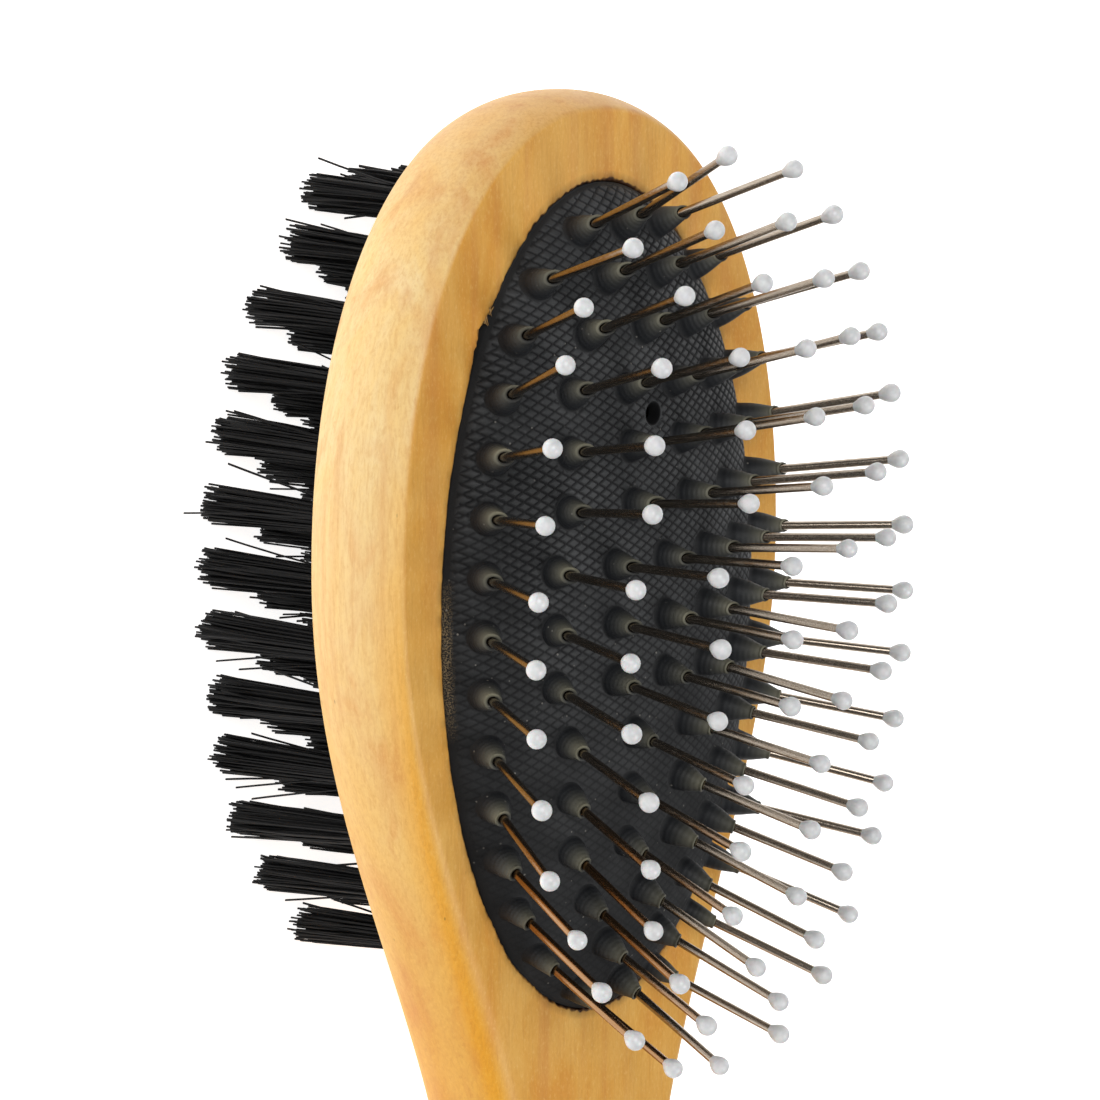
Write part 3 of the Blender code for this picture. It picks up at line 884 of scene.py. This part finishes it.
def emboss_lattice(x, y):
    """Places across the two families of slanting grooves, in pitches."""
    first = (y * math.cos(EMBOSS_ANGLE) - x * math.sin(EMBOSS_ANGLE)) / EMBOSS_PITCH
    second = (y * math.cos(EMBOSS_ANGLE) + x * math.sin(EMBOSS_ANGLE)) / EMBOSS_PITCH
    return first, second


def emboss_share(x, y):
    """Height as a share: 1 on a lozenge's top, falling to 0 in the grooves between them."""
    off_line = min(abs(place - round(place)) for place in emboss_lattice(x, y))
    return min(off_line / GROOVE_HALF_WIDTH, 1.0)


def emboss_wear(x, y):
    """How much of the pattern is left: it is fainter towards the handle."""
    kept = WORN_SHARE + (1 - WORN_SHARE) * ease((y - WORN_Y) / WORN_LENGTH)
    return kept * (0.9 + 0.4 * noise.noise(Vector((x, y, 0)) / (6 * MM)))


def emboss_height(x, y):
    return EMBOSS_DEPTH * emboss_wear(x, y) * emboss_share(x, y)


def emboss_points(keep):
    """Points in the grooves, and on the edges and the middles of the lozenges' tops."""
    shares = (0.0, GROOVE_HALF_WIDTH, 0.5, 1 - GROOVE_HALF_WIDTH)
    reach = int(POCKET_HALF_LENGTH / EMBOSS_PITCH * 1.3)
    ranks = [whole + share for whole in range(-reach, reach) for share in shares]
    points = []
    base_first, base_second = (round(v) for v in emboss_lattice(0, POCKET_Y))
    for first in ranks:
        for second in ranks:
            y = (first + base_first + second + base_second) * EMBOSS_PITCH
            y /= 2 * math.cos(EMBOSS_ANGLE)
            x = (second + base_second - first - base_first) * EMBOSS_PITCH
            x /= 2 * math.sin(EMBOSS_ANGLE)
            if abs(x) < POCKET_HALF_WIDTH and abs(y - POCKET_Y) < POCKET_HALF_LENGTH:
                points.append((x, y))
    return [point for point in points if keep(*point)]


def boss_size(x):
    """Height and lip radius of a boss: the rubber is drawn out further towards the +X side."""
    share = min(max(0.5 + 0.5 * x / PIN_FIELD_HALF_WIDTH, 0.0), 1.0)
    return [near + (far - near) * share for near, far in zip(NEAR_BOSS, FAR_BOSS)]


def boss_rings(root, axis, height, lip):
    """Rings of one boss from its foot on the rubber up over its lip and down its hole."""
    room = rim_distance(root.x, root.y) - 0.2 * MM
    foot = min(BOSS_FOOT_RADIUS, max(room, 1.02 * lip))
    rings = []
    uphill = Vector((1, 0, 0)) - axis * axis.x
    to_head = ease((root.y - POCKET_Y + 25 * MM) / (35 * MM))
    lip_tilt = LIP_TILT_HANDLE + (LIP_TILT_HEAD - LIP_TILT_HANDLE) * to_head

    def tilted(centre, radius, tilt):
        ring = ring_about(centre, axis, radius, BOSS_STEPS)
        return [p + axis * (p - centre).dot(uphill) * tilt for p in ring]

    for out, rise in BOSS_PROFILE:
        radius = lip + (foot - lip) * out
        ring = tilted(root + axis * height * rise, radius, lip_tilt * rise ** 4)
        settle = 1 - rise / 0.2
        if settle > 0:
            ring = [p.lerp(cushion_surface(p.x, p.y) + UP * (FOOT_LIFT + height * rise), settle)
                    for p in ring]
        rings.append(ring)
    hole = ((height - 0.05 * MM, BOSS_HOLE_RADIUS + 0.05 * MM, lip_tilt),
            (height - 0.9 * MM, BOSS_GRIP_RADIUS, 0.0), (-RUBBER_THICKNESS, BOSS_GRIP_RADIUS, 0.0))
    return rings + [tilted(root + axis * along, radius, tilt) for along, radius, tilt in hole]


def paint_boss(looks, points, loops, pin, height, pale):
    """Notes each point's height on its boss, its painted shade, and how pale its stretched top is,
    with a painted highlight towards the upper left.
    """
    root, axis = pin
    for number, loop in enumerate(loops[:-1]):
        rise = BOSS_PROFILE[min(number, len(BOSS_PROFILE) - 1)][1]
        in_hole = number >= len(BOSS_PROFILE)
        worn = 0.6 * rise ** 3 + (0.1 if rise > 0.98 else 0.0)
        for index in loop:
            side = (points[index] - root - axis * height * rise).normalized().dot(HIGHLIGHT_SIDE)
            looks["boss"][index] = rise
            # Painted shade: near black down the hole, and a painted contact shadow round the
            # boss's foot.
            looks["painted_shade"][index] = 0.9 if in_hole else max(0.0, 0.6 - 2.5 * rise)
            looks["thin_and_highlight"][index] = pale * worn * max(0.1, 0.45 + 0.65 * side)


def vent_rings(vent):
    """Rings of the vent hole, from its rounded lip down through the rubber."""
    profile = [(0.25, 0.0), (0.06, -0.06), (0.0, -0.25), (0.0, -RUBBER_THICKNESS / MM)]
    return [ring_about(vent + UP * drop * MM, UP, VENT_RADIUS + wide * MM, 28)
            for wide, drop in profile]


def rim_rings():
    """Rings from the dome's foot down the pocket's wall and in along the ledge."""
    width = POCKET_HALF_WIDTH - RIM_GAP
    length = POCKET_HALF_LENGTH - RIM_GAP
    rim_z = FACE_Z - LEDGE_DEPTH + GAP
    flange = (width - LEDGE_WIDTH, length - LEDGE_WIDTH)
    return [
        oval(DOME_FOOT[0] * width, DOME_FOOT[1] * length, FACE_Z + dome_height(0.98)),
        oval(0.997 * width, 0.998 * length, FACE_Z + 0.12 * MM),
        oval(width, length, FACE_Z - 0.1 * MM),
        oval(width, length, rim_z),
        oval(*flange, rim_z),
        [cushion_surface(p.x, p.y, RUBBER_THICKNESS) for p in oval(*flange, 0)],
    ]


def rim_dust(point):
    """Dust along the rim, thickest on the -X side a little towards the handle."""
    near_rim = 2 - abs(1 - squared_share(point.x, point.y, RIM_GAP)) / 0.022
    patch = 1 - min(1.0, abs(point.y - POCKET_Y + 2.8 * MM) / (8 * MM))
    return min(1.0, max(0.0, near_rim)) * (patch ** 0.5 if point.x < 0 else 0.15)


def build_cushion(material):
    """The domed pad, embossed on top, with a boss for each pin and a vent."""
    skin = Skin()
    pins = [pin for row in used_pins() for pin in row]
    looks = {"painted_shade": {}, "thin_and_highlight": {}, "boss": {}}
    top_loops = []
    hole_loops = []
    chance = random.Random(11)
    for root, axis in pins:
        root = cushion_surface(root.x, root.y)
        height, lip = boss_size(root.x)
        loops = skin.loft(boss_rings(root, axis, height * chance.uniform(0.95, 1.05), lip))
        paint_boss(looks, skin.points, loops, (root, axis), height, chance.uniform(0.45, 1.0))
        top_loops.append(loops[0])
        hole_loops.append(loops[-1])

    vent = cushion_surface(0, (pin_row_y(3) + pin_row_y(4)) / 2)
    vent_loops = skin.loft(vent_rings(vent))
    top_loops.append(vent_loops[0])
    hole_loops.append(vent_loops[-1])
    rim = skin.loft(rim_rings())
    centres = np.array([(root.x, root.y) for root, _ in pins])

    def boss_distance(x, y):
        """How far outside the nearest boss's foot (x, y) lies, roughly."""
        apart = np.hypot((centres[:, 0] - x), (centres[:, 1] - y))
        root, axis = pins[int(np.argmin(apart))]
        offset = cushion_surface(x, y) - cushion_surface(root.x, root.y)
        return (offset - axis * offset.dot(axis)).length - BOSS_FOOT_RADIUS

    def on_rubber(x, y):
        """Whether (x, y) lies on the open dome, 0.1 mm or more from its edges."""
        margin = 0.1 * MM
        across, along = DOME_FOOT
        if squared_share(x / across, POCKET_Y + (y - POCKET_Y) / along, RIM_GAP + margin) >= 1:
            return False
        if math.hypot(x - vent.x, y - vent.y) < VENT_RADIUS + 0.25 * MM + margin:
            return False
        return boss_distance(x, y) > margin - 0.01 * MM

    def lifted(x, y):
        """The embossed surface, which runs out smoothly at the bosses and at the rim."""
        clear = min(1.0, max(0.0, boss_distance(x, y)) / (0.3 * MM))
        height = FOOT_LIFT + (emboss_height(x, y) - FOOT_LIFT) * clear
        rim_fade = min(1.0, (1 - squared_share(x, y, RIM_GAP)) / 0.015)
        return cushion_surface(x, y) + UP * height * rim_fade

    inner = emboss_points(on_rubber)
    sheet_points = range(len(skin.points), len(skin.points) + len(inner))
    skin.sheet([rim[0]] + top_loops, inner, lifted)

    def on_underside(x, y):
        inside_rim = squared_share(x, y, LEDGE_WIDTH + 1.5 * MM) < 1
        return inside_rim and np.hypot(centres[:, 0] - x, centres[:, 1] - y).min() > 2.6 * MM

    under_points = grid_points((-25 * MM, POCKET_Y - 43 * MM), (25 * MM, POCKET_Y + 43 * MM),
                               2.0 * MM, on_underside)
    skin.sheet([rim[-1]] + hole_loops, under_points,
               lambda x, y: cushion_surface(x, y, RUBBER_THICKNESS), reverse=True)

    # Painted shade in the grooves and paler lozenge tops as a painted highlight, less so where the
    # pattern is worn.
    for index in sheet_points:
        x, y, _ = skin.points[index]
        paler = PAD_SHINE * emboss_share(x, y) - GROOVE_SHADE
        looks["painted_shade"][index] = max(0.0, WORN_SHADE - paler * emboss_wear(x, y))
    # Painted shade on the upright rim and inside the vent.
    for loops, shade in ((rim[:2], RIM_SHADE), (vent_loops[1:], VENT_SHADE)):
        looks["painted_shade"].update({index: shade for loop in loops for index in loop})
    cushion = add_piece("rubber_air_cushion", skin.points, skin.faces, material, sharp_angle=28)
    for name, values in looks.items():
        add_attribute(cushion, name, [values.get(i, 0.0) for i in range(len(skin.points))])
    add_attribute(cushion, "rim_dust", [rim_dust(point) for point in skin.points])
    return cushion


# ---- pins

def build_wire(name, root, axis, material):
    """A drawn wire with a flat nail head under the rubber."""
    skin = Skin()
    end = PIN_LENGTH - 0.6 * TIP_RADIUS
    profile = [(-FOOT_DEPTH - 0.35 * MM, PIN_HEAD_RADIUS * 0.9),
               (-FOOT_DEPTH - 0.28 * MM, PIN_HEAD_RADIUS),
               (-FOOT_DEPTH - 0.02 * MM, PIN_HEAD_RADIUS),
               (-FOOT_DEPTH + 0.05 * MM, PIN_HEAD_RADIUS * 0.9),
               (-FOOT_DEPTH + 0.1 * MM, WIRE_RADIUS * 1.15),
               (-FOOT_DEPTH + 0.4 * MM, WIRE_RADIUS)]
    lengths = 14
    start = -FOOT_DEPTH + 0.4 * MM
    profile += [(start + (end - start) * (i + 1) / lengths, WIRE_RADIUS) for i in range(lengths)]
    skin.rod([ring_about(root + axis * along, axis, radius, 14) for along, radius in profile])
    return add_piece(name, skin.points, skin.faces, material, sharp_angle=40)


def build_tip(name, root, axis, size, material):
    """A dipped ball, drawn out a little where it runs down the wire."""
    skin = Skin()
    rings = []
    steps = 16
    widest = TIP_RADIUS * size
    centre = root + axis * PIN_LENGTH
    neck = math.pi - math.asin(1.08 * WIRE_RADIUS / widest)
    for i in range(1, steps + 1):
        angle = neck * i / steps
        along = math.cos(angle)
        tail = 1 + 0.55 * max(0.0, -along) ** 3
        rings.append(ring_about(centre + axis * widest * along * tail, axis,
                                widest * math.sin(angle), 22))
    loops = [skin.ring([centre + axis * widest])] + skin.loft(rings)
    first = loops[1]
    for i in range(len(first)):
        skin.faces.append((loops[0][0], first[i], first[(i + 1) % len(first)]))
    last = skin.ring(ring_about(centre - axis * widest * 1.35, axis, 0.9 * WIRE_RADIUS, 22))
    skin.join(loops[-1], last)
    skin.cap(last)
    return add_piece(name, skin.points, skin.faces, material)


def build_pins(wire_look, tip_look):
    chance = random.Random(8)
    for row, pins in enumerate(used_pins(), start=1):
        for column, (root, axis) in enumerate(pins, start=1):
            place = f"r{row:02d}_c{column}"
            wire = build_wire(f"pin_wire_{place}", root, axis, wire_look)
            tip = build_tip(f"ball_tip_{place}", root, axis, chance.uniform(0.90, 0.96), tip_look)
            for piece, slot in ((wire, "pin_wire"), (tip, "ball_tip")):
                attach(piece, "pins")
                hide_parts(f"pin_row_{row:02d}")


# ---- bristles

def build_tuft(name, root, chance, material):
    """A bunch of separate bristles, packed in their hole and spread towards the tips."""
    skin = Skin()
    lean = Vector((math.tan(TUFT_LEAN * root.x), math.tan(TUFT_LEAN * (root.y - TUFT_FIELD_Y)), 0))
    golden = math.pi * (3 - math.sqrt(5))
    levels = (-0.9 * TUFT_HOLE_DEPTH, 0.0, 0.3, 0.6, 0.85, 1.0)
    sway = jitter(chance, 0.2 * MM)
    for i in range(BRISTLES_PER_TUFT):
        share = math.sqrt((i + 0.5) / BRISTLES_PER_TUFT)
        angle = golden * i + chance.uniform(-0.2, 0.2)
        side = Vector((math.cos(angle), math.sin(angle), 0)) * share
        stray = chance.random() < 0.04
        spread = chance.gauss(1.0, 0.18)
        short = abs(chance.gauss(0, 0.8 * MM)) + (chance.uniform(0.5, 3) * MM if stray else 0)
        tilt = jitter(chance, (1.6 if stray else 0.16) * MM)
        curl = jitter(chance, 0.16 * MM)
        reach = BACK_Z - short
        thick = BRISTLE_RADIUS * chance.uniform(0.85, 1.1)
        turn = chance.uniform(0, 2)
        rings = []
        for level in levels:
            down = level if level < 0 else level * reach
            out = max(level, 0.0)
            radius = TUFT_ROOT_RADIUS + (TUFT_TIP_RADIUS - TUFT_ROOT_RADIUS) * out * spread
            centre = Vector((root.x, root.y, BACK_Z - down)) + side * radius
            centre += (lean * BACK_Z + sway + tilt) * out + curl * out * (1 - out) * 4
            rings.append(ring_about(centre, UP, thick, BRISTLE_SIDES, turn))
        skin.rod(rings)
    return add_piece(name, skin.points, skin.faces, material, sharp_angle=60)


def build_tufts(material):
    chance = random.Random(23)
    for number, roots in enumerate(tuft_rows(), start=1):
        for column, root in enumerate(roots, start=1):
            tuft = build_tuft(f"bristle_tuft_r{number:02d}_c{column}", root, chance, material)
            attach(tuft, "brush")
            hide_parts(f"tuft_row_{number:02d}")


# ---- camera, light and floor

def add_camera():
    """A long lens that looks down on the pin side from the head's -X side."""
    camera = bpy.data.cameras.new("camera")
    camera.lens = LENS_MM
    camera.sensor_width = SENSOR_MM
    camera.clip_start = 0.01
    obj = bpy.data.objects.new("camera", camera)
    back = CAMERA_RIGHT.cross(CAMERA_UP)
    turn = Matrix((CAMERA_RIGHT, CAMERA_UP, back)).transposed().to_4x4()
    obj.matrix_world = Matrix.Translation(CAMERA_PLACE) @ turn
    bpy.context.scene.collection.objects.link(obj)
    bpy.context.scene.camera = obj


def add_area_light(name, place, target, size, energy):
    """A round soft light turned towards its target."""
    light = bpy.data.lights.new(name, "AREA")
    light.shape = "DISK"
    light.size = size
    light.energy = energy
    obj = bpy.data.objects.new(name, light)
    obj.location = place
    obj.rotation_euler = (Vector(target) - Vector(place)).to_track_quat("-Z", "Y").to_euler()
    bpy.context.scene.collection.objects.link(obj)


def add_studio():
    """A plain floor, three soft lights and a faint cool surround."""
    skin = Skin()
    corners = ((-1, -1), (1, -1), (1, 1), (-1, 1))
    skin.cap(skin.ring([Vector((x, y, 0)) * FLOOR_HALF_WIDTH for x, y in corners]))
    floor = add_piece("studio_floor", skin.points, skin.faces, floor_material())
    floor.location.z = FLOOR_Z
    for name, place, size, power in LIGHTS:
        add_area_light(name, place, (0, POCKET_Y, FACE_Z), size, power)
    world = bpy.data.worlds.new("studio")
    world.use_nodes = True
    background = world.node_tree.nodes["Background"]
    background.inputs["Color"].default_value = (0.9, 0.93, 1.0, 1)
    background.inputs["Strength"].default_value = 0.12
    bpy.context.scene.world = world
    bpy.context.scene.view_settings.view_transform = "Standard"


# ---- assembly

def main():
    add_camera()
    add_studio()

    wood = build_wood(wood_material())
    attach(wood, "brush")
    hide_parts("wooden_body")
    splinters = build_splinters(wood.data.materials[0])
    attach(splinters, "brush")

    cushion = build_cushion(rubber_material())
    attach(cushion, "brush")
    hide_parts("rubber_cushion")
    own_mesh(cushion)

    build_pins(wire_material(), tip_material())
    build_tufts(bristle_material())


main()
